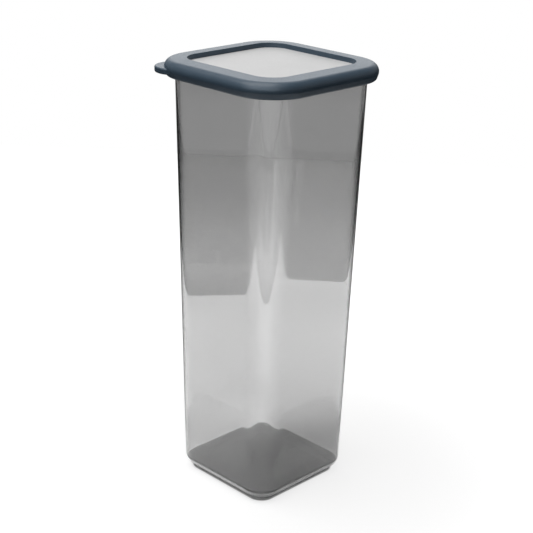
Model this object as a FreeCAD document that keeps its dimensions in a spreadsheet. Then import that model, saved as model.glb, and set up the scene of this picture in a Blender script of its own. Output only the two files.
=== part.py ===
import FreeCAD, Part
import math
import os
import Sketcher

# A tall square food keeper: a tapered clear tub, and a soft lid frame that carries a flat window plate.
# Millimetres, +Z up. The origin is the middle of the foot, on the table.
# Every outline from above is a rounded square. Its "half" is the distance of the flat sides from the
# middle, and its "axis" is the distance of the four corner centres from the middle planes.

# Driving sizes: alias, value, meaning.
SIZES = [
    ("corner_axis", 26.6, "corner centres shared by the tub, the lid frame and the window"),
    ("tub_height", 279.2, "mouth of the tub above the table"),
    ("base_half", 41.15, "tub outside at the underside of the floor"),
    ("mouth_half", 48.4, "tub outside at the mouth"),
    ("wall", 2.2, "tub wall"),
    ("floor_wall", 2.6, "tub floor"),
    ("base_round", 6.0, "rounding of the tub's lower edge"),
    ("floor_round", 3.8, "rounding inside, between floor and walls"),
    ("foot_height", 3.0, "stacking foot under the floor"),
    ("foot_inset", 5.45, "foot in from the tub's lower outline"),
    ("foot_axis", 24.8, "corner centres of the foot"),
    ("foot_width", 2.6, "width of the foot's ring"),
    ("foot_root", 1.2, "depth of the foot's root in the floor"),
    ("foot_bevel", 0.6, "bevel of the foot's outer lower edge"),
    ("gate_radius", 6.0, "shallow dish under the floor round the moulding gate"),
    ("gate_depth", 0.5, "depth of that dish"),
    ("stub_radius", 1.3, "stub that the gate leaves in the dish"),
    ("stub_height", 0.35, "height of the stub"),
    ("bead_out", 2.45, "bead round the mouth, past the wall"),
    ("bead_height", 3.0, "height of the bead"),
    ("bead_lead", 0.8, "bevel on the bead that leads the lid on"),
    ("lid_gap", 0.35, "clearance between the lid frame and the tub"),
    ("roof", 3.5, "lid frame above the mouth"),
    ("crown_height", 6.6, "lid frame from its widest line to its top"),
    ("crown_fall", 0.8, "slope of the frame's top, from the window opening out to the outer edge"),
    ("crown_round", 5.2, "rounding of the frame's outer top edge"),
    ("apron_height", 4.1, "lid frame from its foot to its widest line"),
    ("apron_wall", 2.5, "apron at its foot"),
    ("apron_flare", 1.3, "apron from its foot out to its widest line"),
    ("apron_bevel", 1.1, "bevel of the apron's lower edge"),
    ("plug_wall", 1.9, "wall of the plug that goes inside the mouth"),
    ("plug_depth", 7.0, "plug below the mouth"),
    ("plug_lead", 0.8, "bevel that leads the plug into the mouth"),
    ("rib_out", 0.55, "sealing rib on the plug"),
    ("rib_height", 1.6, "height of the rib"),
    ("rib_depth", 4.4, "middle of the rib below the mouth"),
    ("rib_crest", 0.5, "height of the flat on the rib's crest"),
    ("window_wall", 2.2, "window plate"),
    ("window_rise", 0.35, "top of the window above the mouth"),
    ("window_hold", 2.5, "depth of the groove that holds the window's edge"),
    ("window_gap", 0.25, "clearance between the window's edge and the groove's bottom"),
    ("window_bevel", 0.4, "bevel of the window's edges"),
    ("opening_bevel", 0.4, "bevel of the top edge round the window opening"),
    ("ledge_wall", 1.9, "ledge of the frame under the window"),
    ("ledge_inset", 0.9, "ledge behind the edge of the window opening"),
    ("tab_reach", 5.9, "pull tab past the lid frame's corner"),
    ("tab_end_radius", 12.5, "outline of the tab's end"),
    ("tab_wall", 3.8, "thickness of the tab"),
    ("tab_rise", 1.6, "underside of the tab above the apron's foot"),
    ("tab_bevel", 0.8, "bevel of the tab's edges"),
    ("pick_near", 0.02, "how near an edge lies to the place where it is picked"),
    ("rounding_share", 0.9, "largest share of a face that its roundings and bevels take"),
]

# Sizes worked out from the driving ones, so that pieces that meet follow each other.
DERIVED = [
    ("wall_slope", "=(mouth_half - base_half) / (tub_height - foot_height)"),
    ("floor_top", "=foot_height + floor_wall"),
    ("floor_half", "=base_half - wall + wall_slope * floor_wall"),
    ("base_fillet", "=min(base_round; rounding_share * (base_half - corner_axis))"),
    ("floor_fillet", "=min(floor_round; rounding_share * (floor_half - corner_axis))"),
    ("flat_half", "=min(base_half - base_fillet; floor_half - floor_fillet)"),
    ("plate_half", "=(corner_axis + flat_half) / 2"),
    ("mouth_inner_half", "=mouth_half - wall"),
    ("neck_half", "=mouth_half - wall_slope * bead_height"),
    ("bead_half", "=mouth_half + bead_out"),
    ("bead_bottom", "=tub_height - bead_height"),
    ("bead_bevel", "=min(bead_lead; rounding_share * min(bead_height; bead_out))"),
    ("bead_shoulder", "=tub_height - bead_bevel"),
    ("bead_top_half", "=bead_half - bead_bevel"),
    ("foot_half", "=base_half - foot_inset"),
    ("foot_inner_half", "=foot_half - foot_width"),
    ("foot_length", "=foot_height + foot_root"),
    ("foot_chamfer", "=min(foot_bevel; rounding_share * min(foot_width; foot_height))"),
    ("stub_bottom", "=foot_height + gate_depth - stub_height"),
    ("apron_inner_half", "=bead_half + lid_gap"),
    ("rim_low_half", "=apron_inner_half + apron_wall"),
    ("rim_half", "=rim_low_half + apron_flare"),
    ("lid_top", "=tub_height + roof"),
    ("waist", "=lid_top - crown_height"),
    ("shoulder", "=lid_top - crown_fall"),
    ("apron_foot", "=waist - apron_height"),
    ("apron_cut", "=min(apron_bevel; rounding_share * min(apron_wall; apron_height))"),
    ("apron_edge", "=apron_foot + apron_cut"),
    ("apron_edge_half", "=rim_low_half + apron_flare * apron_cut / apron_height"),
    ("apron_foot_half", "=rim_low_half - apron_cut"),
    ("crown_fillet", "=min(crown_round; rounding_share * (shoulder - waist))"),
    ("rib_middle", "=tub_height - rib_depth"),
    ("rib_bottom", "=rib_middle - rib_height / 2"),
    ("rib_top", "=rib_middle + rib_height / 2"),
    ("crest_bottom", "=rib_middle - rib_crest / 2"),
    ("crest_top", "=rib_middle + rib_crest / 2"),
    ("rib_half", "=mouth_inner_half - wall_slope * (tub_height - rib_bottom) - lid_gap"),
    ("plug_half", "=rib_half - rib_out"),
    ("plug_foot", "=tub_height - plug_depth"),
    ("plug_bevel", "=min(plug_lead; rounding_share * plug_wall)"),
    ("plug_edge", "=plug_foot + plug_bevel"),
    ("plug_foot_half", "=plug_half - plug_bevel"),
    ("groove_half", "=plug_half - plug_wall"),
    ("opening_half", "=groove_half - window_hold"),
    ("opening_cut", "=min(opening_bevel; rounding_share * (roof - window_rise))"),
    ("opening_edge", "=lid_top - opening_cut"),
    ("opening_top_half", "=opening_half + opening_cut"),
    ("ledge_half", "=opening_half + ledge_inset"),
    ("window_half", "=groove_half - window_gap"),
    ("window_top", "=tub_height + window_rise"),
    ("window_bottom", "=window_top - window_wall"),
    ("window_chamfer", "=min(window_bevel; rounding_share * window_wall / 2)"),
    ("ledge_bottom", "=window_bottom - ledge_wall"),
    ("tab_bottom", "=apron_foot + tab_rise"),
    ("tab_top", "=tab_bottom + tab_wall"),
    ("tab_half", "=rim_half + tab_reach"),
    ("tab_chamfer", "=min(tab_bevel; rounding_share * tab_wall / 2)"),
    ("corner_reach", "=corner_axis * sqrt(2)"),
    ("tab_centre", "=corner_reach + tab_half - corner_axis - tab_end_radius"),
    ("tab_root_radius", "=(apron_inner_half + rim_low_half) / 2 - corner_axis"),
]

UP = FreeCAD.Vector(0, 0, 1)
MIDDLE = FreeCAD.Vector(0, 0, 0)
QUARTER_TURN = math.pi / 2
FULL_TURN = 2 * math.pi
# The tab stands on the corner between -X and +Y.
TAB_TURN = 135

doc = FreeCAD.newDocument("StorageContainer")
sheet = doc.addObject("Spreadsheet::Sheet", "Sizes")


def fill_sheet():
    """Write the driving sizes as plain numbers and the derived ones as formulas, one row each."""
    rows = [(alias, str(value), meaning) for alias, value, meaning in SIZES]
    rows += [(alias, formula, "worked out") for alias, formula in DERIVED]
    for row, (alias, content, meaning) in enumerate(rows, start=1):
        sheet.set(f"A{row}", meaning)
        sheet.set(f"B{row}", content)
        sheet.setAlias(f"B{row}", alias)
    doc.recompute()


def size(alias):
    """The value of one size in millimetres."""
    return float(sheet.get(alias))


def new_body(label):
    """A body whose label names the piece."""
    body = doc.addObject("PartDesign::Body", label)
    body.Label = label
    return body


def new_sketch(body, name, plane, raised=None, turn=0):
    """A sketch on one of the body's own planes, moved off it by a size and turned about its normal."""
    sketch = body.newObject("Sketcher::SketchObject", name)
    support = [item for item in body.Origin.OriginFeatures if item.Role == plane]
    sketch.AttachmentSupport = [(support[0], "")]
    sketch.MapMode = "FlatFace"
    sketch.AttachmentOffset = FreeCAD.Placement(MIDDLE, FreeCAD.Rotation(UP, turn))
    if raised:
        sketch.setExpression("AttachmentOffset.Base.z", f"Sizes.{raised}")
    return sketch


def join(sketch, kind, *parts):
    """Add a constraint that has no size."""
    sketch.addConstraint(Sketcher.Constraint(kind, *parts))


def bind(sketch, alias, kind, *parts):
    """Add a constraint that follows a size of the sheet."""
    index = sketch.addConstraint(Sketcher.Constraint(kind, *parts, size(alias)))
    name = f"{alias}_{index}"
    sketch.renameConstraint(index, name)
    sketch.setExpression(f"Constraints.{name}", f"Sizes.{alias}")


def rounded_square(sketch, half, axis="corner_axis"):
    """Add a rounded square round the origin: four sides and four corner arcs."""
    flat = size(half)
    centre = size(axis)
    sides = []
    corners = []
    for quarter in range(4):
        begin = quarter * QUARTER_TURN
        turn = FreeCAD.Rotation(UP, math.degrees(begin))
        start = turn.multVec(FreeCAD.Vector(flat, -centre, 0))
        end = turn.multVec(FreeCAD.Vector(flat, centre, 0))
        round_corner = Part.Circle(turn.multVec(FreeCAD.Vector(centre, centre, 0)), UP, flat - centre)
        sides.append(sketch.addGeometry(Part.LineSegment(start, end), False))
        arc = Part.ArcOfCircle(round_corner, begin, begin + QUARTER_TURN)
        corners.append(sketch.addGeometry(arc, False))
    for quarter in range(4):
        join(sketch, "Tangent", sides[quarter], 2, corners[quarter], 1)
        join(sketch, "Tangent", corners[quarter], 2, sides[(quarter + 1) % 4], 1)
        join(sketch, "Horizontal" if quarter % 2 else "Vertical", sides[quarter])
    for corner in corners[1:]:
        join(sketch, "Equal", corners[0], corner)
    join(sketch, "Equal", sides[0], sides[1])
    join(sketch, "Symmetric", corners[0], 3, corners[2], 3, -1, 1)
    bind(sketch, half, "DistanceX", -1, 1, sides[0], 1)
    bind(sketch, axis, "DistanceX", -1, 1, corners[0], 3)


def level_outline(body, name, raised, *halves, axis="corner_axis"):
    """A level sketch of one rounded square, or of two that bound a ring."""
    sketch = new_sketch(body, f"{name}_outline", "XY_Plane", raised)
    for half in halves:
        rounded_square(sketch, half, axis)
    return sketch


def disc_outline(body, name, raised, radius):
    """A level sketch of a circle round the origin."""
    sketch = new_sketch(body, f"{name}_outline", "XY_Plane", raised)
    ring = sketch.addGeometry(Part.Circle(MIDDLE, UP, size(radius)), False)
    join(sketch, "Coincident", ring, 3, -1, 1)
    bind(sketch, radius, "Radius", ring)
    return sketch


def corner_arc(before, corner, after, radius):
    """Tangent arc in a corner of a section, its two ends along the outline, and whether it turns left."""
    back = (before - corner).normalize()
    ahead = (after - corner).normalize()
    half_angle = back.getAngle(ahead) / 2
    start = corner + back * (radius / math.tan(half_angle))
    end = corner + ahead * (radius / math.tan(half_angle))
    middle = corner + (back + ahead).normalize() * (radius / math.sin(half_angle))
    left = back.cross(ahead).z < 0
    first, last = (start, end) if left else (end, start)
    begin = math.atan2(first.y - middle.y, first.x - middle.x)
    finish = math.atan2(last.y - middle.y, last.x - middle.x)
    if finish < begin:
        finish += FULL_TURN
    return Part.ArcOfCircle(Part.Circle(middle, UP, radius), begin, finish), start, end, left


def section(body, name, corners):
    """The upright section of a ring at one end of its first straight side.

    Each corner is the alias of its half, of its height and, where it is rounded, of its radius.
    A rounded corner keeps its sharp place as a point that both of its sides run through.
    """
    sketch = new_sketch(body, f"{name}_section", "XZ_Plane", "corner_axis")
    places = [FreeCAD.Vector(size(half), size(height), 0) for half, height, _ in corners]
    count = len(corners)
    arcs = []
    for number, (_, _, radius) in enumerate(corners):
        arc = None
        if radius:
            before, after = places[number - 1], places[(number + 1) % count]
            arc = corner_arc(before, places[number], after, size(radius))
        arcs.append(arc)
    lines = []
    for number in range(count):
        following = (number + 1) % count
        start = arcs[number][2] if arcs[number] else places[number]
        end = arcs[following][1] if arcs[following] else places[following]
        lines.append(sketch.addGeometry(Part.LineSegment(start, end), False))
    for number, (half, height, radius) in enumerate(corners):
        arriving, leaving = lines[number - 1], lines[number]
        if radius:
            arc, _, _, left = arcs[number]
            bend = sketch.addGeometry(arc, False)
            sharp = sketch.addGeometry(Part.Point(places[number]), True)
            join(sketch, "Tangent", arriving, 2, bend, 1 if left else 2)
            join(sketch, "Tangent", leaving, 1, bend, 2 if left else 1)
            join(sketch, "PointOnObject", sharp, 1, arriving)
            join(sketch, "PointOnObject", sharp, 1, leaving)
            bind(sketch, radius, "Radius", bend)
            held = sharp
        else:
            join(sketch, "Coincident", arriving, 2, leaving, 1)
            held = leaving
        bind(sketch, half, "DistanceX", -1, 1, held, 1)
        bind(sketch, height, "DistanceY", -1, 1, held, 1)
    return sketch


def ring(body, name, path_half, corners):
    """Carry a section round a rounded square."""
    path = level_outline(body, f"{name}_path", None, path_half)
    profile = section(body, name, corners)
    doc.recompute()
    feature = body.newObject("PartDesign::AdditivePipe", name)
    feature.Profile = profile
    feature.Spine = (path, [])
    doc.recompute()
    return feature


def pad(body, name, sketch, length):
    """Raise a sketch along +Z."""
    feature = body.newObject("PartDesign::Pad", name)
    feature.Profile = sketch
    feature.setExpression("Length", f"Sizes.{length}")
    doc.recompute()
    return feature


def pocket(body, name, sketch, length):
    """Cut upwards from a sketch, and check that material went."""
    before = body.Shape.Volume
    feature = body.newObject("PartDesign::Pocket", name)
    feature.Profile = sketch
    feature.Reversed = True
    feature.setExpression("Length", f"Sizes.{length}")
    doc.recompute()
    if not body.Shape.Volume < before:
        raise RuntimeError(f"{name} cuts nothing")
    return feature


def edges_at(body, height, half, axis="corner_axis"):
    """Names of the edges whose middles lie on a rounded square at a height."""
    near = size("pick_near")
    centre = size(axis)
    names = []
    for number, edge in enumerate(body.Tip.Shape.Edges, start=1):
        middle = edge.valueAt((edge.FirstParameter + edge.LastParameter) / 2)
        past_x = max(abs(middle.x) - centre, 0)
        past_y = max(abs(middle.y) - centre, 0)
        off = centre + math.hypot(past_x, past_y) - size(half)
        if abs(middle.z - height) < near and abs(off) < near:
            names.append(f"Edge{number}")
    return names


def bevel(body, name, width, edges):
    """Bevel edges of the body's last feature."""
    base = body.Tip
    feature = body.newObject("PartDesign::Chamfer", name)
    feature.Base = (base, edges)
    feature.setExpression("Size", f"Sizes.{width}")
    doc.recompute()
    return feature


def make_container_body():
    """The tub: walls with their bead and rounded lower edge, floor, ring foot and gate mark."""
    body = new_body("container_body")
    ring(body, "walls", "mouth_half", [
        ("plate_half", "foot_height", None),
        ("base_half", "foot_height", "base_fillet"),
        ("neck_half", "bead_bottom", None),
        ("bead_half", "bead_bottom", None),
        ("bead_half", "bead_shoulder", None),
        ("bead_top_half", "tub_height", None),
        ("mouth_inner_half", "tub_height", None),
        ("floor_half", "floor_top", "floor_fillet"),
        ("plate_half", "floor_top", None),
    ])
    pad(body, "floor_plate", level_outline(body, "floor_plate", "foot_height", "plate_half"), "floor_wall")
    foot = level_outline(body, "foot", None, "foot_half", "foot_inner_half", axis="foot_axis")
    pad(body, "foot_ring", foot, "foot_length")
    bevel(body, "foot_edge", "foot_chamfer", edges_at(body, 0, "foot_half", "foot_axis"))
    pocket(body, "gate_dish", disc_outline(body, "gate_dish", "foot_height", "gate_radius"), "gate_depth")
    pad(body, "gate_stub", disc_outline(body, "gate_stub", "stub_bottom", "stub_radius"), "stub_height")
    return body


def tab_outline(body):
    """The tab from above: its round end, closed by an arc that lies inside the apron's wall."""
    sketch = new_sketch(body, "tab_outline", "XY_Plane", "tab_bottom", TAB_TURN)
    apart = size("tab_centre") - size("corner_reach")
    end_radius = size("tab_end_radius")
    root_radius = size("tab_root_radius")
    meet_x = (apart**2 + root_radius**2 - end_radius**2) / (2 * apart)
    meet_y = math.sqrt(root_radius**2 - meet_x**2)
    end_angle = math.atan2(meet_y, meet_x - apart)
    root_angle = math.atan2(meet_y, meet_x)
    end_circle = Part.Circle(FreeCAD.Vector(size("tab_centre"), 0, 0), UP, end_radius)
    root_circle = Part.Circle(FreeCAD.Vector(size("corner_reach"), 0, 0), UP, root_radius)
    end = sketch.addGeometry(Part.ArcOfCircle(end_circle, -end_angle, end_angle), False)
    root = sketch.addGeometry(Part.ArcOfCircle(root_circle, -root_angle, root_angle), False)
    for tip in (1, 2):
        join(sketch, "Coincident", end, tip, root, tip)
    arcs = ((end, "tab_centre", "tab_end_radius"), (root, "corner_reach", "tab_root_radius"))
    for arc, place, radius in arcs:
        join(sketch, "PointOnObject", arc, 3, -1)
        bind(sketch, place, "DistanceX", -1, 1, arc, 3)
        bind(sketch, radius, "Radius", arc)
    return sketch


def make_lid_rim():
    """The soft lid frame: crown, apron, channel over the bead, plug with rib, window groove and pull tab."""
    body = new_body("lid_rim")
    pad(body, "pull_tab", tab_outline(body), "tab_wall")
    lower_edges = edges_at(body, size("tab_bottom"), "tab_half")
    upper_edges = edges_at(body, size("tab_top"), "tab_half")
    bevel(body, "tab_edges", "tab_chamfer", lower_edges + upper_edges)
    ring(body, "frame", "mouth_half", [
        ("opening_half", "opening_edge", None),
        ("opening_top_half", "lid_top", None),
        ("rim_half", "shoulder", "crown_fillet"),
        ("rim_half", "waist", None),
        ("apron_edge_half", "apron_edge", None),
        ("apron_foot_half", "apron_foot", None),
        ("apron_inner_half", "apron_foot", None),
        ("apron_inner_half", "tub_height", None),
        ("plug_half", "tub_height", None),
        ("plug_half", "rib_top", None),
        ("rib_half", "crest_top", None),
        ("rib_half", "crest_bottom", None),
        ("plug_half", "rib_bottom", None),
        ("plug_half", "plug_edge", None),
        ("plug_foot_half", "plug_foot", None),
        ("groove_half", "plug_foot", None),
        ("groove_half", "ledge_bottom", None),
        ("ledge_half", "ledge_bottom", None),
        ("ledge_half", "window_bottom", None),
        ("groove_half", "window_bottom", None),
        ("groove_half", "window_top", None),
        ("opening_half", "window_top", None),
    ])
    return body


def make_lid_panel():
    """The flat window plate, held between the frame's roof and its ledge."""
    body = new_body("lid_panel")
    pad(body, "plate", level_outline(body, "plate", "window_bottom", "window_half"), "window_wall")
    lower_edges = edges_at(body, size("window_bottom"), "window_half")
    upper_edges = edges_at(body, size("window_top"), "window_half")
    bevel(body, "plate_edges", "window_chamfer", lower_edges + upper_edges)
    return body


def check(bodies):
    """Stop before anything is written if a feature failed or a piece isn't one valid solid."""
    for item in doc.Objects:
        if "Invalid" in item.State or "Error" in item.State:
            raise RuntimeError(f"{item.Name} failed: {item.State}")
    for body in bodies:
        if body.Shape.isNull() or not body.Shape.isValid() or len(body.Shape.Solids) != 1:
            raise RuntimeError(f"{body.Label} is not one valid solid")


fill_sheet()
pieces = [make_container_body(), make_lid_rim(), make_lid_panel()]
doc.recompute()
check(pieces)
os.makedirs("parts", exist_ok=True)
for piece in pieces:
    piece.Shape.exportStep(os.path.join("parts", f"{piece.Label}.step"))
    print(piece.Label, "volume in mm3:", round(piece.Shape.Volume, 1))
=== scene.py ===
import math

import bmesh
import bpy
import numpy as np
from mathutils import Matrix, Vector


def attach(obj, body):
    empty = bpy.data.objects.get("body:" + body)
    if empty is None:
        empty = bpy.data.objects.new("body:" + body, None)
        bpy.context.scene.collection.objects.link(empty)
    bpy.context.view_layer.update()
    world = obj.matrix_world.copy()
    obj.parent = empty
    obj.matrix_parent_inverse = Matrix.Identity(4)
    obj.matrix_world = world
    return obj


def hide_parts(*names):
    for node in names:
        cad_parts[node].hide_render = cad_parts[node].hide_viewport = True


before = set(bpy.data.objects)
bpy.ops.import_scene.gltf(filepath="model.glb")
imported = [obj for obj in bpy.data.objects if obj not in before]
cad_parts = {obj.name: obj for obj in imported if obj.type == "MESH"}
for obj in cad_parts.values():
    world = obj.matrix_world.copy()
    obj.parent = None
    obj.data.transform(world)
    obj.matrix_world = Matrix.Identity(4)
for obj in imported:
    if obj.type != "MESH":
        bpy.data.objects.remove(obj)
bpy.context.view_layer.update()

# A storage container: a clear tub and a soft lid frame with a pull tab, both redrawn with fine roundings, and a pale
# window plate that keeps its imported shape.

MM = 0.001

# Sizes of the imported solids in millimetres, as in the part's source. A half is the distance of the flat sides from
# the middle of a rounded square, and an axis is the distance of its corner centres.
CORNER_AXIS = 26.6
TUB_HEIGHT = 279.2
BASE_HALF = 41.15
MOUTH_HALF = 48.4
WALL = 2.2
FLOOR_WALL = 2.6
BASE_ROUND = 6.0
FLOOR_ROUND = 3.8
FOOT_HEIGHT = 3.0
FOOT_HALF = 35.7
FOOT_AXIS = 24.8
FOOT_WIDTH = 2.6
GATE_RADIUS = 6.0
GATE_DEPTH = 0.5
STUB_RADIUS = 1.3
STUB_HEIGHT = 0.35
BEAD_HALF = 50.85
BEAD_HEIGHT = 3.0
LID_TOP = 282.7
SHOULDER = 281.9
RIM_HALF = 55.0
RIM_LOW_HALF = 53.7
WAIST = 276.1
APRON_FOOT = 272.0
APRON_INNER_HALF = 51.2
CROWN_ROUND = 5.2
PLUG_FOOT = 272.2
RIB_MIDDLE = 274.8
RIB_HEIGHT = 1.6
RIB_OUT = 0.55
LID_GAP = 0.35
PLUG_WALL = 1.9
WINDOW_WALL = 2.2
WINDOW_HOLD = 2.5
WINDOW_RISE = 0.35
LEDGE_WALL = 1.9
LEDGE_INSET = 0.9
TAB_REACH = 5.9
TAB_END_RADIUS = 12.5
TAB_BOTTOM = 273.6
TAB_TOP = 277.4
TAB_DEGREES = 135

# Sizes worked out from these, as in the source.
WALL_SLOPE = (MOUTH_HALF - BASE_HALF) / (TUB_HEIGHT - FOOT_HEIGHT)
FLOOR_TOP = FOOT_HEIGHT + FLOOR_WALL
FLOOR_HALF = BASE_HALF - WALL + WALL_SLOPE * FLOOR_WALL
RIB_TOP = RIB_MIDDLE + RIB_HEIGHT / 2
RIB_BOTTOM = RIB_MIDDLE - RIB_HEIGHT / 2
RIB_HALF = MOUTH_HALF - WALL - WALL_SLOPE * (TUB_HEIGHT - RIB_MIDDLE + RIB_HEIGHT / 2) - LID_GAP
PLUG_HALF = RIB_HALF - RIB_OUT
GROOVE_HALF = PLUG_HALF - PLUG_WALL
OPENING_HALF = GROOVE_HALF - WINDOW_HOLD
LEDGE_HALF = OPENING_HALF + LEDGE_INSET
WINDOW_TOP = TUB_HEIGHT + WINDOW_RISE
WINDOW_BOTTOM = WINDOW_TOP - WINDOW_WALL
LEDGE_BOTTOM = WINDOW_BOTTOM - LEDGE_WALL
CORNER_REACH = CORNER_AXIS * math.sqrt(2)

# Fine forms that only the scene has: roundings, and a thinner wall in the tub's corners.
INNER_AXIS = CORNER_AXIS + 0.9
MOUTH_ROUND = 0.5
BEAD_TOP_ROUND = 0.8
BEAD_LOW_ROUND = 0.5
NECK_ROUND = 0.4
FOOT_ROUND = 0.6
FOOT_INNER_ROUND = 0.4
FOOT_ROOT_ROUND = 0.3
GATE_SLANT = 0.3
OPENING_ROUND = 0.35
WAIST_ROUND = 3.6
APRON_ROUND = 1.9
APRON_INNER_ROUND = 0.3
RIB_ROUND = 0.5
PLUG_ROUND = 0.7
TAB_ROUND = 0.9

# How finely the meshes are drawn. The floor's middle plate ends at PLATE_HALF, inside the floor's rounding, and the
# ease is the run beside a corner over which its normals start to turn.
PLATE_HALF = 30.0
CORNER_EASE = 4.0
EASE_STEPS = 5
TUB_CORNER_STEPS = 20
FRAME_CORNER_STEPS = 24
TAB_STEPS = 40
TAB_ROUND_STEPS = 7
WELD = 1e-7
CREASE = math.radians(30)


# Meshes

def section_runs(corners, closed):
    """Runs of (place, normal, axis) samples along a section: its straight runs and the arcs between them.

    A corner is (half, height, radius, arc steps, corner axis). Air lies to the left of the way along.
    """
    count = len(corners)
    places = [Vector(corner[:2]) for corner in corners]
    ends = []
    for k, (_, _, radius, _, _) in enumerate(corners):
        if not radius or not (closed or 0 < k < count - 1):
            ends.append((places[k], places[k], None))
            continue
        back = (places[k - 1] - places[k]).normalized()
        ahead = (places[(k + 1) % count] - places[k]).normalized()
        half_angle = back.angle(ahead) / 2
        run = radius / math.tan(half_angle)
        centre = places[k] + (back + ahead).normalized() * (radius / math.sin(half_angle))
        ends.append((places[k] + back * run, places[k] + ahead * run, centre))
    runs = []
    for k, (_, _, radius, steps, axis) in enumerate(corners):
        start, end, centre = ends[k]
        if centre is not None:
            first = math.atan2(start.y - centre.y, start.x - centre.x)
            last = math.atan2(end.y - centre.y, end.x - centre.x)
            turn = (last - first + math.pi) % (2 * math.pi) - math.pi
            side = -1 if turn > 0 else 1
            samples = []
            for step in range(steps + 1):
                angle = first + turn * step / steps
                way = Vector((math.cos(angle), math.sin(angle)))
                samples.append((centre + way * radius, way * side, axis))
            runs.append(samples)
        if closed or k < count - 1:
            following = ends[(k + 1) % count][0]
            along = (following - end).normalized()
            normal = Vector((-along.y, along.x))
            runs.append([(end, normal, axis), (following, normal, corners[(k + 1) % count][4])])
    return runs


def corner_places(steps, ease):
    """Places along a corner as (run beside its arc, share of its quarter turn).

    With an ease there are also places on the flats, before the arc and after it.
    """
    arc = [(0, step / steps) for step in range(steps + 1)]
    before = [(ease * (step / EASE_STEPS - 1), 0) for step in range(EASE_STEPS)] if ease else []
    return before + arc + [(-run, 1) for run, _ in reversed(before)]


def eased_share(run, share, radius, ease):
    """Share of the quarter turn that the normal has made, with a steady start before the arc and after it."""
    quarter = radius * math.pi / 2
    place = run + share * quarter
    if not ease or quarter <= 2 * ease:
        return share
    if place < ease:
        return (place + ease)**2 / (4 * ease) / quarter
    if place > quarter - ease:
        return 1 - (quarter - place + ease)**2 / (4 * ease) / quarter
    return share


def loop_points(half, axis, steps, ease):
    """Points and outward ways round a rounded square, or round a disc where the axis is 0."""
    points, ways = [], []
    for quarter in range(4):
        start = Matrix.Rotation(quarter * math.pi / 2, 2)
        for run, share in corner_places(steps, ease):
            angle = share * math.pi / 2
            beside = Vector((-run, 0)) if run > 0 else Vector((0, run))
            way = Vector((math.cos(angle), math.sin(angle)))
            if not axis:
                way = Vector((CORNER_AXIS, CORNER_AXIS)) + way * (PLATE_HALF - CORNER_AXIS) + beside
                way.normalize()
                points.append(start @ (way * half))
            else:
                points.append(start @ (Vector((axis, axis)) + way * (half - axis) + beside))
                turned = eased_share(run, share, half - axis, ease) * math.pi / 2
                way = Vector((math.cos(turned), math.sin(turned)))
            ways.append(start @ way)
    return points, ways


def swept_mesh(name, runs, steps, ease=0, first_cap=None, last_cap=None):
    """A smooth mesh of section runs carried round rounded squares, with the true form's normal at every corner."""
    vertices, faces, normals, rings = [], [], [], {}

    def ring(place, axis):
        key = (round(place.x, 5), round(place.y, 5), axis)
        if key not in rings:
            points, ways = loop_points(place.x, axis, steps, ease)
            rings[key] = (len(vertices), ways)
            vertices.extend((point.x * MM, point.y * MM, place.y * MM) for point in points)
        return rings[key]

    size = 4 * len(corner_places(steps, ease))
    for samples in runs:
        for (place_a, normal_a, axis_a), (place_b, normal_b, axis_b) in zip(samples[:-1], samples[1:]):
            (start_a, ways_a), (start_b, ways_b) = ring(place_a, axis_a), ring(place_b, axis_b)
            for i in range(size):
                j = (i + 1) % size
                faces.append([start_a + i, start_a + j, start_b + j, start_b + i])
                around = ((ways_a[i], normal_a), (ways_a[j], normal_a), (ways_b[j], normal_b), (ways_b[i], normal_b))
                normals.append([(way.x * n.x, way.y * n.x, n.y) for way, n in around])
    for cap, sample in ((first_cap, runs[0][0]), (last_cap, runs[-1][-1])):
        if cap:
            start, _ = ring(sample[0], sample[2])
            faces.append([start + i for i in range(size)])
            normals.append([cap] * size)
    points = np.array(vertices)
    for k, (face, turned) in enumerate(zip(faces, normals)):
        corner = points[face]
        across = np.cross(corner[2] - corner[0], corner[3] - corner[1])
        if across @ np.sum(turned, axis=0) < 0:
            faces[k], normals[k] = face[::-1], turned[::-1]
    mesh = bpy.data.meshes.new(name)
    mesh.from_pydata(vertices, [], faces)
    mesh.polygons.foreach_set("use_smooth", [True] * len(mesh.polygons))
    mesh.normals_split_custom_set([Vector(n).normalized() for turned in normals for n in turned])
    mesh.update()
    return mesh


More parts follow.
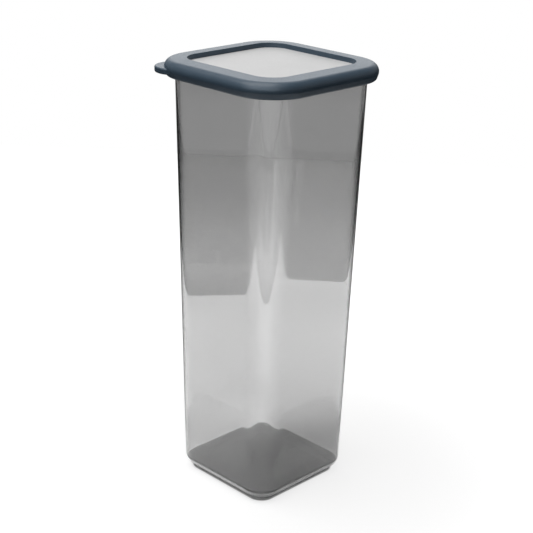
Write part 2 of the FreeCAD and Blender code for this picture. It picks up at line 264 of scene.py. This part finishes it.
def tub_mesh():
    """The tub's closed skin: floor, inner walls, mouth with its bead, outer walls, rounded base and ring foot."""
    a, f = CORNER_AXIS, FOOT_AXIS
    bead_bottom = TUB_HEIGHT - BEAD_HEIGHT
    foot_inner = FOOT_HALF - FOOT_WIDTH
    dish = FOOT_HEIGHT + GATE_DEPTH
    stub = dish - STUB_HEIGHT
    section = section_runs([
        (PLATE_HALF, FLOOR_TOP, 0, 0, a),
        (FLOOR_HALF, FLOOR_TOP, FLOOR_ROUND, 10, INNER_AXIS),
        (MOUTH_HALF - WALL, TUB_HEIGHT, MOUTH_ROUND, 5, INNER_AXIS),
        (BEAD_HALF, TUB_HEIGHT, BEAD_TOP_ROUND, 6, a),
        (BEAD_HALF, bead_bottom, BEAD_LOW_ROUND, 5, a),
        (MOUTH_HALF - WALL_SLOPE * BEAD_HEIGHT, bead_bottom, NECK_ROUND, 4, a),
        (BASE_HALF, FOOT_HEIGHT, BASE_ROUND, 14, a),
        (FOOT_HALF, FOOT_HEIGHT, 0, 0, f),
        (FOOT_HALF, 0, FOOT_ROUND, 5, f),
        (foot_inner, 0, FOOT_INNER_ROUND, 4, f),
        (foot_inner, FOOT_HEIGHT, FOOT_ROOT_ROUND, 4, f),
        (GATE_RADIUS, FOOT_HEIGHT, 0, 0, 0),
        (GATE_RADIUS - GATE_SLANT, dish, 0, 0, 0),
        (STUB_RADIUS, dish, 0, 0, 0),
        (STUB_RADIUS, stub, 0, 0, 0),
        (STUB_RADIUS / 2, stub, 0, 0, 0),
    ], False)
    return swept_mesh("tub", section, TUB_CORNER_STEPS, CORNER_EASE, (0, 0, 1), (0, 0, -1))


def frame_mesh():
    """The lid frame without its tab: crown, apron, channel over the bead, plug with rib and window groove."""
    a = CORNER_AXIS
    section = section_runs([
        (OPENING_HALF, LID_TOP, OPENING_ROUND, 4, a),
        (RIM_HALF, SHOULDER, CROWN_ROUND, 14, a),
        (RIM_HALF, WAIST, WAIST_ROUND, 4, a),
        (RIM_LOW_HALF, APRON_FOOT, APRON_ROUND, 8, a),
        (APRON_INNER_HALF, APRON_FOOT, APRON_INNER_ROUND, 3, a),
        (APRON_INNER_HALF, TUB_HEIGHT, 0, 0, a),
        (PLUG_HALF, TUB_HEIGHT, 0, 0, a),
        (PLUG_HALF, RIB_TOP, 0, 0, a),
        (RIB_HALF, RIB_MIDDLE, RIB_ROUND, 5, a),
        (PLUG_HALF, RIB_BOTTOM, 0, 0, a),
        (PLUG_HALF, PLUG_FOOT, PLUG_ROUND, 5, a),
        (GROOVE_HALF, PLUG_FOOT, PLUG_ROUND, 5, a),
        (GROOVE_HALF, LEDGE_BOTTOM, 0, 0, a),
        (LEDGE_HALF, LEDGE_BOTTOM, 0, 0, a),
        (LEDGE_HALF, WINDOW_BOTTOM, 0, 0, a),
        (GROOVE_HALF, WINDOW_BOTTOM, 0, 0, a),
        (GROOVE_HALF, WINDOW_TOP, 0, 0, a),
        (OPENING_HALF, WINDOW_TOP, 0, 0, a),
    ], True)
    return swept_mesh("lid_frame", section, FRAME_CORNER_STEPS)


def tab_mesh():
    """The pull tab: a round-ended tongue whose root lies inside the apron's wall."""
    centre = CORNER_REACH + RIM_HALF + TAB_REACH - CORNER_AXIS - TAB_END_RADIUS
    apart = centre - CORNER_REACH
    root = (APRON_INNER_HALF + RIM_LOW_HALF) / 2 - CORNER_AXIS
    turn = Matrix.Rotation(math.radians(TAB_DEGREES), 3, "Z")
    edges = []
    for base, sign in ((TAB_BOTTOM + TAB_ROUND, -1), (TAB_TOP - TAB_ROUND, 1)):
        for step in range(TAB_ROUND_STEPS + 1):
            angle = step / TAB_ROUND_STEPS * math.pi / 2
            edges.append((base + sign * TAB_ROUND * math.sin(angle), TAB_ROUND * (1 - math.cos(angle))))
    work = bmesh.new()
    rows = []
    for height, inset in sorted(edges):
        reach = TAB_END_RADIUS - inset
        meet = (apart**2 + root**2 - reach**2) / (2 * apart)
        side = math.sqrt(root**2 - meet**2)
        end_angle, root_angle = math.atan2(side, meet - apart), math.atan2(side, meet)
        outline = []
        for i in range(TAB_STEPS + 1):
            angle = -end_angle + 2 * end_angle * i / TAB_STEPS
            outline.append((centre + reach * math.cos(angle), reach * math.sin(angle)))
        for i in range(1, TAB_STEPS):
            angle = root_angle - 2 * root_angle * i / TAB_STEPS
            outline.append((CORNER_REACH + root * math.cos(angle), root * math.sin(angle)))
        rows.append([work.verts.new(turn @ Vector((x * MM, y * MM, height * MM))) for x, y in outline])
    for low, high in zip(rows[:-1], rows[1:]):
        for i in range(len(low)):
            j = (i + 1) % len(low)
            work.faces.new((low[i], low[j], high[j], high[i]))
    work.faces.new(rows[0][::-1])
    work.faces.new(rows[-1])
    bmesh.ops.recalc_face_normals(work, faces=work.faces)
    mesh = bpy.data.meshes.new("pull_tab")
    work.to_mesh(mesh)
    work.free()
    return mesh


def joined(first, second):
    """One closed mesh of two overlapping ones, shaded smooth with crisp edges and flats kept flat."""
    pieces = []
    for mesh in (first, second):
        piece = bpy.data.objects.new("work", mesh)
        bpy.context.scene.collection.objects.link(piece)
        pieces.append(piece)
    union = pieces[0].modifiers.new("union", "BOOLEAN")
    union.operation = "UNION"
    union.solver = "EXACT"
    union.object = pieces[1]
    depsgraph = bpy.context.evaluated_depsgraph_get()
    fused = bpy.data.meshes.new_from_object(pieces[0].evaluated_get(depsgraph))
    pieces[0].modifiers.clear()
    pieces[0].data = fused
    work = bmesh.new()
    work.from_mesh(fused)
    bmesh.ops.remove_doubles(work, verts=work.verts, dist=WELD)
    for edge in work.edges:
        edge.smooth = len(edge.link_faces) == 2 and edge.calc_face_angle(0) < CREASE
    for face in work.faces:
        face.smooth = True
    work.to_mesh(fused)
    work.free()
    flats = pieces[0].modifiers.new("flats", "WEIGHTED_NORMAL")
    flats.keep_sharp = True
    depsgraph = bpy.context.evaluated_depsgraph_get()
    mesh = bpy.data.meshes.new_from_object(pieces[0].evaluated_get(depsgraph))
    for piece in pieces:
        bpy.data.objects.remove(piece)
    return mesh


def add_piece(name, mesh, body, node):
    """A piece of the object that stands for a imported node."""
    mesh.name = name
    piece = bpy.data.objects.new(name, mesh)
    bpy.context.scene.collection.objects.link(piece)
    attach(piece, body)
    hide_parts(node)
    return piece


tub = add_piece("tub", tub_mesh(), "container", "container_body")
lid_frame = add_piece("lid_frame", joined(frame_mesh(), tab_mesh()), "lid", "lid_rim")
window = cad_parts["lid_panel"]


# Nodes

def add_node(tree, kind, inputs=(), **values):
    """Add a node, set its properties and its inputs by name or number."""
    node = tree.nodes.new(kind)
    for name, value in values.items():
        setattr(node, name, value)
    for name, value in dict(inputs).items():
        if isinstance(value, bpy.types.NodeSocket):
            tree.links.new(value, node.inputs[name])
        else:
            node.inputs[name].default_value = value
    return node


def number(tree, operation, *values):
    """The result of a math node."""
    return add_node(tree, "ShaderNodeMath", dict(enumerate(values)), operation=operation).outputs[0]


def vector(tree, operation, *values):
    """The result of a vector math node: a number for a length or a dot product, otherwise a vector."""
    node = add_node(tree, "ShaderNodeVectorMath", dict(enumerate(values)), operation=operation)
    return node.outputs["Value" if operation in ("LENGTH", "DOT_PRODUCT") else "Vector"]


def product(tree, first, *others):
    """Values multiplied together."""
    for other in others:
        first = number(tree, "MULTIPLY", first, other)
    return first


def slope(tree, value, start, end, low, high):
    """A smooth change from the level low at start to the level high at end."""
    return add_node(tree, "ShaderNodeMapRange", {
        "Value": value, "From Min": start, "From Max": end, "To Min": low, "To Max": high,
    }, interpolation_type="SMOOTHSTEP").outputs["Result"]


def grey(level):
    """A grey as a colour socket takes it."""
    return (level, level, level, 1)


# Materials

# Most of a noise lies between these values.
NOISE_LOW = 0.25
NOISE_HIGH = 0.75

# Sockets of a colour mix, which has others of the same names for numbers and vectors.
MIX_FACTOR = 0
MIX_FIRST = 6
MIX_SECOND = 7
MIX_RESULT = 2


def new_material(name):
    """A node material, its tree and its main shader."""
    material = bpy.data.materials.new(name)
    material.use_nodes = True
    tree = material.node_tree
    return material, tree, tree.nodes["Principled BSDF"]


def noise(tree, scale, detail, rough=0.5):
    """Noise in the object's own metres."""
    place = add_node(tree, "ShaderNodeTexCoord").outputs["Object"]
    return add_node(tree, "ShaderNodeTexNoise", {
        "Vector": place, "Scale": scale, "Detail": detail, "Roughness": rough}).outputs["Fac"]


def ranged(tree, low, high, **grain):
    """Noise between two values."""
    return add_node(tree, "ShaderNodeMapRange", {
        "Value": noise(tree, **grain), "From Min": NOISE_LOW, "From Max": NOISE_HIGH, "To Min": low, "To Max": high,
    }).outputs["Result"]


def bump(tree, distance, **grain):
    """Bump of a noise as high as a distance in metres."""
    return add_node(tree, "ShaderNodeBump", {
        "Height": noise(tree, **grain), "Distance": distance, "Strength": 1}).outputs["Normal"]


def mixed(tree, fac, low, high):
    """A colour between two, by a factor."""
    inputs = {MIX_FACTOR: fac, MIX_FIRST: (*low, 1), MIX_SECOND: (*high, 1)}
    return add_node(tree, "ShaderNodeMix", inputs, data_type="RGBA").outputs[MIX_RESULT]


def smoke_plastic():
    """Clear smoke-grey plastic: tint that grows with thickness, a polish with faint wipes, slow waves in the walls."""
    material, tree, shader = new_material("smoke_plastic")
    shader.inputs["Base Color"].default_value = (1, 1, 1, 1)
    shader.inputs["Transmission Weight"].default_value = 1
    shader.inputs["IOR"].default_value = 1.57
    shader.inputs["Coat Weight"].default_value = 1
    shader.inputs["Coat Roughness"].default_value = 0.02
    shader.inputs["Coat IOR"].default_value = 1.8
    tree.links.new(ranged(tree, 0.01, 0.03, scale=60, detail=3), shader.inputs["Roughness"])
    tree.links.new(bump(tree, 0.0002, scale=14, detail=1), shader.inputs["Normal"])
    absorption = add_node(tree, "ShaderNodeVolumeAbsorption", {"Color": (0, 0, 0, 1), "Density": 200})
    tree.links.new(absorption.outputs[0], tree.nodes["Material Output"].inputs["Volume"])
    return material


def soft_plastic():
    """Soft blue-grey plastic with a fine spark-eroded grain and slightly uneven colour."""
    material, tree, shader = new_material("soft_plastic")
    tint = mixed(tree, ranged(tree, 0, 1, scale=90, detail=4), (0.047, 0.077, 0.110), (0.055, 0.087, 0.122))
    tree.links.new(tint, shader.inputs["Base Color"])
    tree.links.new(ranged(tree, 0.32, 0.42, scale=900, detail=3), shader.inputs["Roughness"])
    tree.links.new(bump(tree, 0.00004, scale=2600, detail=3, rough=0.6), shader.inputs["Normal"])
    shader.inputs["IOR"].default_value = 1.42
    return material


def pale_plastic():
    """Pale milky plastic with a light satin."""
    material, tree, shader = new_material("pale_plastic")
    tint = mixed(tree, ranged(tree, 0, 1, scale=40, detail=3), (0.525, 0.525, 0.525), (0.555, 0.555, 0.555))
    tree.links.new(tint, shader.inputs["Base Color"])
    tree.links.new(ranged(tree, 0.42, 0.55, scale=700, detail=3), shader.inputs["Roughness"])
    tree.links.new(bump(tree, 0.00003, scale=1800, detail=2), shader.inputs["Normal"])
    shader.inputs["IOR"].default_value = 1.45
    return material


tub.data.materials.append(smoke_plastic())
lid_frame.data.materials.clear()
lid_frame.data.materials.append(soft_plastic())
window.data.materials.clear()
window.data.materials.append(pale_plastic())


# Stage: a white table and a dark board round it in a dim studio, all white to the camera. Through Light Path they have
# one look in mirrors and one behind clear plastic, so that the tub shows what the photo's studio showed.

# The boards' looks in mirrors, through clear plastic and to the camera carry painted light and shade round the tub.
ACROSS = Vector((1, -1, 0)).normalized()
AWAY = Vector((1, 1, 0)).normalized()

# Boards, in metres from the tub's middle.
BOARD_TURN = math.radians(-45)
TABLE_LEFT = -0.337
TABLE_RIGHT = 0.375
TABLE_NEAR = -0.352
TABLE_FAR_LEFT = 0.790
TABLE_FAR_RIGHT = 0.735
TABLE_DROP = -0.0002
SURROUND = 0.763
EDGE_STRIP = 0.002
SURROUND_DROP = -0.0006

# Levels of the table (white) and of the board round it (dark).
LIT_WHITE = 0.35
LIT_DARK = 0.12
CLEAR_WHITE = 1.6
CLEAR_DARK = 0.36
MIRROR_WHITE = 1.9
MIRROR_DARK = 0.12
NEAR_WHITE = 2.0
NEAR_DARK = 0.6
# Painted glow of the board round the table, which stands for a pale wall seen straight through the tub.
PAINTED_WALL_GLOW = 0.75
# Painted glow of a ring on the table round the tub's foot, mirrored as a highlight on its bottom rounding.
PAINTED_RING_GLOW = 0.9
# Painted glow on the table round the tub, for the light that the tub lets through.
PAINTED_PASSED_GLOW = 0.3
SHADOW_GREY = 0.3
# Lean of the painted light streak behind the tub.
STREAK_LEAN = -0.04

# A ray that came straight through both walls of the tub has been bent four times and mirrored at no time.
BOTH_WALLS = 3.5
NOT_MIRRORED = 0.5

# The world. The ceiling's stops are (sine of the height over the horizon, level).
WORLD_LIT = 0.14
WALL_LIGHT = 0.88
CEILING = [(-1, 0.1), (0.0, 0.1), (0.12, 1.8), (0.5, 1.8), (0.75, 1.0), (1, 0.9)]
LEAST_AHEAD = 0.05
FRONT_BOX_LEFT = 0.3

LAMP_PLACE = ACROSS * -0.4 + AWAY * -0.05 + Vector((0, 0, 1.5))
LAMP_TARGET = Vector((0, 0, 0.1))
LAMP_SIZE = 1.2
LAMP_POWER = 18.5


def board(name, corners, drop):
    """A flat stage board with its corners given across and away, its top facing up."""
    mesh = bpy.data.meshes.new(name)
    mesh.from_pydata([(x, y, drop) for x, y in corners], [], [(0, 1, 2, 3)])
    top = bpy.data.objects.new(name, mesh)
    bpy.context.scene.collection.objects.link(top)
    top.rotation_euler = (0, 0, BOARD_TURN)
    return top


def from_corner_axis(tree):
    """How far a place lies outside the square of the tub's corner axes, so that the tub's outlines have one value."""
    axis = CORNER_AXIS * MM
    place = vector(tree, "ABSOLUTE", add_node(tree, "ShaderNodeNewGeometry").outputs["Position"])
    place = vector(tree, "SUBTRACT", place, (axis, axis, 1))
    return vector(tree, "LENGTH", vector(tree, "MAXIMUM", place, (0, 0, 0)))


class Spot:
    """Measures of a spot on a board: its distances from the tub's middle and how steeply it lies behind the tub."""

    def __init__(self, tree):
        place = add_node(tree, "ShaderNodeTexCoord").outputs["Object"]
        parts = add_node(tree, "ShaderNodeSeparateXYZ", {0: place}).outputs
        self.across, self.away = parts["X"], parts["Y"]
        self.aside = number(tree, "ABSOLUTE", self.across)
        self.apart = vector(tree, "LENGTH", place)
        self.beyond = from_corner_axis(tree)
        self.steep = number(tree, "DIVIDE", self.away, self.aside)


def diffuse(tree, colour):
    """A matt shader."""
    return add_node(tree, "ShaderNodeBsdfDiffuse", {"Color": colour}).outputs[0]


def emission(tree, strength):
    """A white light."""
    return add_node(tree, "ShaderNodeEmission", {"Strength": strength}).outputs[0]


def background(tree, colour, strength=1):
    """A light of the world."""
    return add_node(tree, "ShaderNodeBackground", {"Color": colour, "Strength": strength}).outputs[0]


def added(tree, first, second):
    """Two shaders together."""
    return add_node(tree, "ShaderNodeAddShader", {0: first, 1: second}).outputs[0]


def looks(tree, lit, mirrored, clear, seen):
    """One look for matt surfaces and lamps, one in mirrors, one through clear plastic and one to the camera."""
    path = add_node(tree, "ShaderNodeLightPath").outputs
    look = lit
    for ray, other in (("Is Glossy Ray", mirrored), ("Is Transmission Ray", clear), ("Is Camera Ray", seen)):
        look = add_node(tree, "ShaderNodeMixShader", {0: path[ray], 1: look, 2: other}).outputs[0]
    return look


def clear_look(tree, spot, level, painted_wall_glow_level):
    """A board through clear plastic: lit but with painted shade under the tub and painted light and shade round it, a
    painted glow for the light the tub passes and a painted glow that stands for a pale wall.
    """
    # Painted light and shade on the board as it shows through the tub: brighter past the tub, darker towards the far
    # end, on the far left and to the far sides, and lighter to the right.
    past_tub = slope(tree, spot.away, 0.28, 0.40, 1.12 * level, 1.43 * level)
    fade = slope(tree, spot.away, 0.45, 0.68, 1, 0.90)
    far_end = slope(tree, spot.away, 0.68, 0.75, 1, 0.85)
    left_to_right = slope(tree, spot.across, -0.06, 0.06, 0.96, 1.04)
    # Painted shade: the board is darkened under the tub's floor.
    painted_shade_under_tub = slope(tree, spot.beyond, 0.0200, 0.0228, 0.12, 1)
    # Painted shade: a dimmer strip far behind the tub's middle.
    painted_shade_column = slope(tree, spot.away, 0.39, 0.47, 1, slope(tree, spot.aside, 0, 0.05, 0.92, 1))
    left = slope(tree, spot.away, 0.40, 0.60, 1, slope(tree, spot.across, -0.05, 0.0, 0.86, 0.93))
    # Painted light: a slightly leaning, lighter streak far behind the tub.
    painted_light_streak = number(tree, "MULTIPLY_ADD", spot.away, STREAK_LEAN, spot.across)
    painted_light_streak = slope(tree, painted_light_streak, 0.0062, 0.0076, 1, slope(tree, painted_light_streak, 0.010, 0.017, 1.13, 1))
    painted_light_streak = slope(tree, spot.away, 0.45, 0.55, 1, painted_light_streak)
    sides = slope(tree, spot.away, 0.25, 0.40, 1, slope(tree, spot.aside, 0.10, 0.28, 1, 0.45))
    lit = diffuse(tree, product(
        tree, past_tub, fade, far_end, left_to_right, painted_shade_under_tub, painted_shade_column, left, painted_light_streak, sides))

    # Painted light: a glow round the tub's outline, fading outwards and weaker to the right, for the light the tub
    # lets through.
    outline = slope(tree, spot.beyond, 0.0205, 0.0235, 0, PAINTED_PASSED_GLOW)
    reach = slope(tree, spot.beyond, 0.035, 0.080, 1, 0)
    painted_passed_glow = product(tree, outline, reach, slope(tree, spot.across, -0.01, 0.03, 1, 0.5))

    # Painted light: a glow on the board that stands for a pale wall, seen only straight through both walls of the tub.
    path = add_node(tree, "ShaderNodeLightPath").outputs
    crossed = number(tree, "GREATER_THAN", path["Transmission Depth"], BOTH_WALLS)
    straight = number(tree, "LESS_THAN", path["Glossy Depth"], NOT_MIRRORED)
    wall = product(tree, slope(tree, spot.steep, 1.1, 1.6, painted_wall_glow_level, 0), crossed, straight)
    return added(tree, lit, emission(tree, number(tree, "ADD", painted_passed_glow, wall)))


def mirrored_look(tree, spot, level, near_level):
    """A board in mirrors: painted bright before the tub, with painted shade behind it and close to it, and a painted
    glowing ring at the foot.
    """
    # Painted light and shade on the board as the tub mirrors it: brighter before the tub, darker behind it, at the
    # near end, the sides, the far end and the front corner, and lighter to the right.
    nearer = slope(tree, spot.away, -0.35, -0.08, near_level, level)
    behind = slope(tree, spot.steep, 0.2, 1.1, 1, 0.12)
    near_end = slope(tree, spot.aside, 0.12, 0.3, slope(tree, spot.away, -0.75, -0.42, 0.2, 1), 1)
    sides = slope(tree, spot.aside, 0.27, 0.34, 1, 0.87)
    front_corner = slope(tree, spot.aside, 0.03, 0.09, slope(tree, spot.away, -0.185, -0.145, 1, 0.75), 1)
    far_end = slope(tree, spot.away, 0.25, 0.45, 1, 0.15)
    # Painted shade: the board is dimmer close to the tub, on top of the lamp's real shadow.
    close = slope(tree, spot.apart, 0.095, 0.15, 0.6, 1.06)
    # Painted light: close to the tub on its right, the board is brighter.
    painted_light_close_right = slope(tree, spot.apart, 0.055, 0.105, slope(tree, spot.across, -0.01, 0.06, 1, 1.8), 1)
    left_to_right = slope(tree, spot.across, -0.3, 0.3, 0.8, 0.93)
    image = diffuse(tree, product(
        tree, nearer, behind, near_end, sides, front_corner, far_end, close, painted_light_close_right, left_to_right))

    # Painted light: a glowing ring on the table round the tub's foot, which the tub's bottom rounding mirrors as a
    # highlight, fainter to the right.
    inner = slope(tree, spot.beyond, 0.0135, 0.0155, 0.4, PAINTED_RING_GLOW)
    outer = slope(tree, spot.beyond, 0.018, 0.026, 1, 0)
    ring = emission(tree, product(tree, inner, outer, slope(tree, spot.across, -0.05, 0.05, 1.15, 0.75)))
    return added(tree, image, ring)


def seen_look(tree, spot):
    """A board to the camera: white, with a soft shadow round the tub, partly the lamp's and partly painted, and a
    painted dark line under its foot.
    """
    # Painted shadow: the camera's white dims round the tub.
    painted_shadow_round_tub = slope(tree, spot.apart, 0.1, 0.3, 0.8, 1)
    # Painted shadow: a dark line under the tub's foot.
    painted_shadow_under_foot = slope(tree, spot.beyond, 0.0088, 0.0108, 0.12, 1)
    return added(tree, emission(tree, product(tree, painted_shadow_round_tub, painted_shadow_under_foot)), diffuse(tree, grey(SHADOW_GREY)))


def board_material(name, lit_level, clear_level, mirror_level, near_level, painted_wall_glow_level):
    """White to the camera with a soft shadow, a lit board to clear plastic and a set level in mirrors, both with
    painted light and shade round the tub.
    """
    material = bpy.data.materials.new(name)
    material.use_nodes = True
    tree = material.node_tree
    tree.nodes.clear()
    spot = Spot(tree)
    look = looks(tree, diffuse(tree, grey(lit_level)), mirrored_look(tree, spot, mirror_level, near_level),
                 clear_look(tree, spot, clear_level, painted_wall_glow_level), seen_look(tree, spot))
    add_node(tree, "ShaderNodeOutputMaterial", {"Surface": look})
    return material


def ceiling(tree, height, strength):
    """The room in mirrors: greys that go with the height over the horizon."""
    share = add_node(tree, "ShaderNodeMapRange", {"Value": height, "From Min": -1, "From Max": 1}).outputs["Result"]
    ramp = add_node(tree, "ShaderNodeValToRGB", {"Fac": share})
    elements = ramp.color_ramp.elements
    while len(elements) < len(CEILING):
        elements.new(0.5)
    for element, (at, level) in zip(elements, CEILING):
        element.position = (at + 1) / 2
        element.color = grey(level)
    return background(tree, ramp.outputs[0], strength)


def studio():
    """World: white to the camera, a grey wall behind clear plastic, a dim room with a bright ceiling in mirrors."""
    world = bpy.data.worlds.new("studio")
    bpy.context.scene.world = world
    world.use_nodes = True
    tree = world.node_tree
    tree.nodes.clear()
    way = add_node(tree, "ShaderNodeTexCoord").outputs["Generated"]
    height = add_node(tree, "ShaderNodeSeparateXYZ", {0: way}).outputs["Z"]
    behind = vector(tree, "DOT_PRODUCT", way, AWAY)
    beside = vector(tree, "DOT_PRODUCT", way, ACROSS)
    off = number(tree, "DIVIDE", number(tree, "ABSOLUTE", beside), number(tree, "MAXIMUM", behind, LEAST_AHEAD))

    aslant = number(tree, "ABSOLUTE", number(tree, "ADD", beside, FRONT_BOX_LEFT))
    front_box = product(tree, slope(tree, behind, -0.4, 0, 2.3, 0), slope(tree, aslant, 0.4, 0.75, 1, 0),
                        slope(tree, height, 0.1, 0.45, 0.3, 1))
    far_box = slope(tree, off, 0.15, 0.5, 1, 0.2)
    mirrored = ceiling(tree, height, number(tree, "MAXIMUM", far_box, front_box))

    flags = product(tree, slope(tree, off, 0.14, 0.34, 0, 0.68), slope(tree, off, 0.7, 0.9, 1, 0),
                    slope(tree, behind, 0.3, 0.6, 0, 1))
    upper = slope(tree, height, 0.0, 0.3, 1.0, 0.4)
    lower = slope(tree, height, -0.24, -0.215, 1, 0.82)
    wall = background(tree, product(tree, upper, lower), number(tree, "SUBTRACT", WALL_LIGHT, flags))

    look = looks(tree, background(tree, grey(WORLD_LIT)), mirrored, wall, background(tree, grey(1)))
    add_node(tree, "ShaderNodeOutputWorld", {"Surface": look})


def lamp():
    """A square softbox over the table."""
    data = bpy.data.lights.new("overhead", "AREA")
    data.shape = "SQUARE"
    data.size = LAMP_SIZE
    data.energy = LAMP_POWER
    overhead = bpy.data.objects.new("overhead", data)
    bpy.context.scene.collection.objects.link(overhead)
    overhead.location = LAMP_PLACE
    overhead.rotation_mode = "QUATERNION"
    overhead.rotation_quaternion = (LAMP_TARGET - LAMP_PLACE).to_track_quat("-Z", "Y")


def boards():
    """The table, and round it a board that ends with the same slanted far edge."""
    table = board("table", [(TABLE_LEFT, TABLE_NEAR), (TABLE_RIGHT, TABLE_NEAR), (TABLE_RIGHT, TABLE_FAR_RIGHT),
                            (TABLE_LEFT, TABLE_FAR_LEFT)], TABLE_DROP)
    table.data.materials.append(board_material(
        "table_white", LIT_WHITE, CLEAR_WHITE, MIRROR_WHITE, NEAR_WHITE, 0))
    fall = (TABLE_FAR_LEFT - TABLE_FAR_RIGHT) / (TABLE_RIGHT - TABLE_LEFT)
    far_left = TABLE_FAR_LEFT + fall * (TABLE_LEFT + SURROUND) + EDGE_STRIP
    far_right = TABLE_FAR_RIGHT - fall * (SURROUND - TABLE_RIGHT) + EDGE_STRIP
    surround = board("surround", [(-SURROUND, -SURROUND), (SURROUND, -SURROUND), (SURROUND, far_right),
                                  (-SURROUND, far_left)], SURROUND_DROP)
    surround.data.materials.append(board_material(
        "surround_white", LIT_DARK, CLEAR_DARK, MIRROR_DARK, NEAR_DARK, PAINTED_WALL_GLOW))


boards()
studio()
lamp()


# Camera, fitted to the photograph's edges

EYE = Vector((-0.54477, -0.54301, 0.44140))
EYE_RIGHT = Vector((0.71207998, -0.70171885, 0.0230817))
EYE_UP = Vector((0.23599644, 0.27018467, 0.93343769))
EYE_FORWARD = Vector((0.66124714, 0.65923509, -0.35799625))
LENS = 85.486
SENSOR = 36
CLIP_START = 0.01


def camera():
    """The camera at the place and with the lens that the photo was taken with."""
    data = bpy.data.cameras.new("camera")
    data.lens = LENS
    data.sensor_width = SENSOR
    data.clip_start = CLIP_START
    eye = bpy.data.objects.new("camera", data)
    bpy.context.scene.collection.objects.link(eye)
    turn = Matrix((EYE_RIGHT, EYE_UP, -EYE_FORWARD)).transposed()
    eye.matrix_world = Matrix.Translation(EYE) @ turn.to_4x4()
    bpy.context.scene.camera = eye


camera()
bpy.context.scene.view_settings.view_transform = "Standard"
